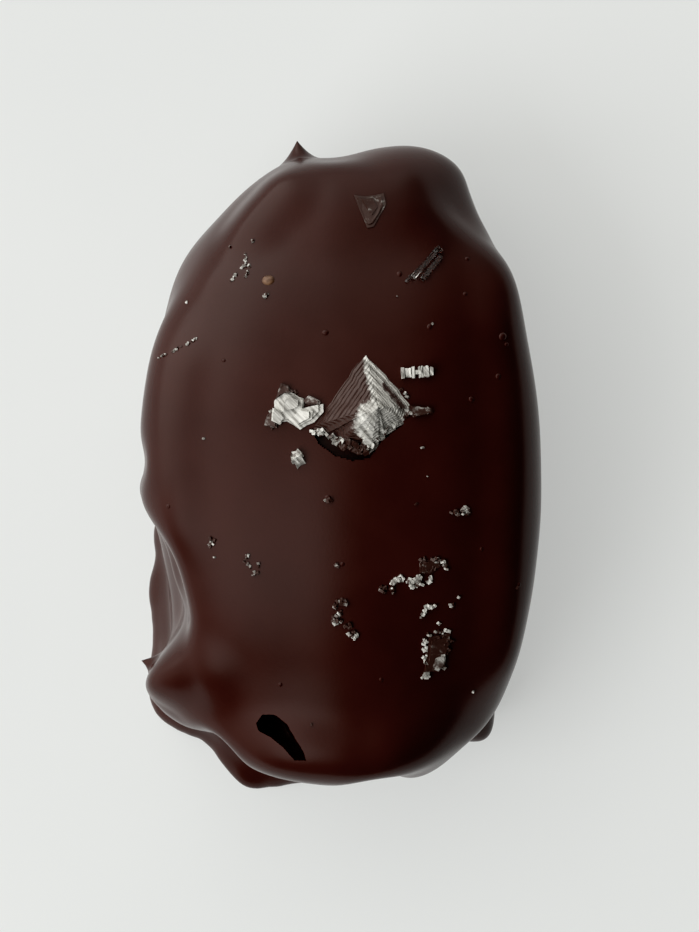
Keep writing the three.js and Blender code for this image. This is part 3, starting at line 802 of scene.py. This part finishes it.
rods = []
for number, (x, y, length, width, turn) in enumerate(RODS):
    rod = crystal((length, width, width * 0.9), 0, number)
    bpy.ops.object.mode_set(mode="EDIT")
    bpy.ops.mesh.select_all(action="SELECT")
    bpy.ops.mesh.bevel(offset=ROD_EDGE * MM, segments=1, affect="EDGES")
    bpy.ops.object.mode_set(mode="OBJECT")
    lay_on_coat(rod, x, y, turn, ROD_LEAN, -ROD_LIFT)
    rods.append(rod)
clear_rods = join(rods, "clear_salt_rods")

clear_salt = bpy.data.materials.new("clear salt")
clear_salt.use_nodes = True
clear_nodes = clear_salt.node_tree.nodes
clear_links = clear_salt.node_tree.links
clear_skin = clear_nodes["Principled BSDF"]
clear_place = clear_nodes.new("ShaderNodeTexCoord")
clear_cracks = clear_nodes.new("ShaderNodeTexNoise")
clear_cracks.inputs["Scale"].default_value = 2600
clear_dull = clear_nodes.new("ShaderNodeMapRange")
clear_dull.inputs["From Min"].default_value = 0.45
clear_dull.inputs["From Max"].default_value = 0.75
clear_dull.inputs["To Min"].default_value = 0.04
clear_dull.inputs["To Max"].default_value = 0.45
clear_relief = clear_nodes.new("ShaderNodeBump")
clear_relief.inputs["Strength"].default_value = 0.4
clear_relief.inputs["Distance"].default_value = 0.00005
clear_links.new(clear_place.outputs["Object"], clear_cracks.inputs["Vector"])
clear_links.new(clear_cracks.outputs["Fac"], clear_dull.inputs["Value"])
clear_links.new(clear_dull.outputs["Result"], clear_skin.inputs["Roughness"])
clear_links.new(clear_cracks.outputs["Fac"], clear_relief.inputs["Height"])
clear_links.new(clear_relief.outputs["Normal"], clear_skin.inputs["Normal"])
clear_skin.inputs["Base Color"].default_value = (0.95, 0.93, 0.90, 1)
clear_skin.inputs["Transmission Weight"].default_value = 1
clear_skin.inputs["IOR"].default_value = 1.54
clear_rods.data.materials.append(clear_salt)
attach(clear_rods, "root")


# The bubbles: air that rose in the wet coat and set as small domes of chocolate, and a bead of
# paler filling that stuck to the coat on the left.
BUBBLES = (
    # x, y, how wide
    (-1.1, 10.2, 0.55), (12.6, 10.0, 0.75), (12.2, 6.9, 0.5), (10.1, 5.1, 0.5), (9.9, 16.1, 0.4),
    (9.7, 13.3, 0.4), (6.9, 10.7, 0.5), (4.6, 14.8, 0.5), (-13.2, -3.1, 0.4), (-0.9, -2.4, 0.5),
    (0.2, -7.5, 0.4), (13.9, -9.2, 0.4), (3.2, -16.5, 0.4), (-8.9, 8.1, 0.35), (12.9, 9.4, 0.4),
    (-4.6, -16.9, 0.4), (10.9, -6.4, 0.35))
BEAD = (-5.5, 14.3, 1.0)
DOME_SHAPE = (1, 0.85, 0.5)
DOME_ROUGH = 0.006
DOME_SUNK = 0.06         # against the dome's width


def domes(places, name):
    """Sets a flattened ball on the coat at each place."""
    balls = []
    for x, y, wide in places:
        bpy.ops.object.select_all(action="DESELECT")
        bpy.ops.mesh.primitive_uv_sphere_add(segments=20, ring_count=12, radius=0.5)
        ball = bpy.context.active_object
        bpy.ops.object.mode_set(mode="EDIT")
        bpy.ops.transform.resize(value=Vector(DOME_SHAPE) * MM)
        bpy.ops.transform.vertex_random(offset=DOME_ROUGH * MM, seed=len(balls))
        bpy.ops.object.mode_set(mode="OBJECT")
        lay_on_coat(ball, x, y, 40 * len(balls), 0, wide * DOME_SUNK, wide)
        balls.append(ball)
    piece = join(balls, name)
    bpy.ops.object.shade_smooth_by_angle(angle=math.radians(60))
    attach(piece, "root")
    return piece


bubbles = domes(BUBBLES, "coat_bubbles")
bubbles.data.materials.append(chocolate)

bead = domes((BEAD,), "filling_bead")
filling = bpy.data.materials.new("pale filling")
filling.use_nodes = True
filling_nodes = filling.node_tree.nodes
filling_links = filling.node_tree.links
filling_skin = filling_nodes["Principled BSDF"]
filling_place = filling_nodes.new("ShaderNodeTexCoord")
filling_specks = filling_nodes.new("ShaderNodeTexNoise")
filling_specks.inputs["Scale"].default_value = 3600
filling_tints = filling_nodes.new("ShaderNodeValToRGB")
filling_tints.color_ramp.elements[0].position = 0.35
filling_tints.color_ramp.elements[0].color = (0.090, 0.048, 0.030, 1)
filling_tints.color_ramp.elements[1].position = 0.65
filling_tints.color_ramp.elements[1].color = (0.17, 0.10, 0.062, 1)
filling_links.new(filling_place.outputs["Object"], filling_specks.inputs["Vector"])
filling_links.new(filling_specks.outputs["Fac"], filling_tints.inputs["Fac"])
filling_links.new(filling_tints.outputs["Color"], filling_skin.inputs["Base Color"])
filling_skin.inputs["Roughness"].default_value = 0.45
bead.data.materials.append(filling)
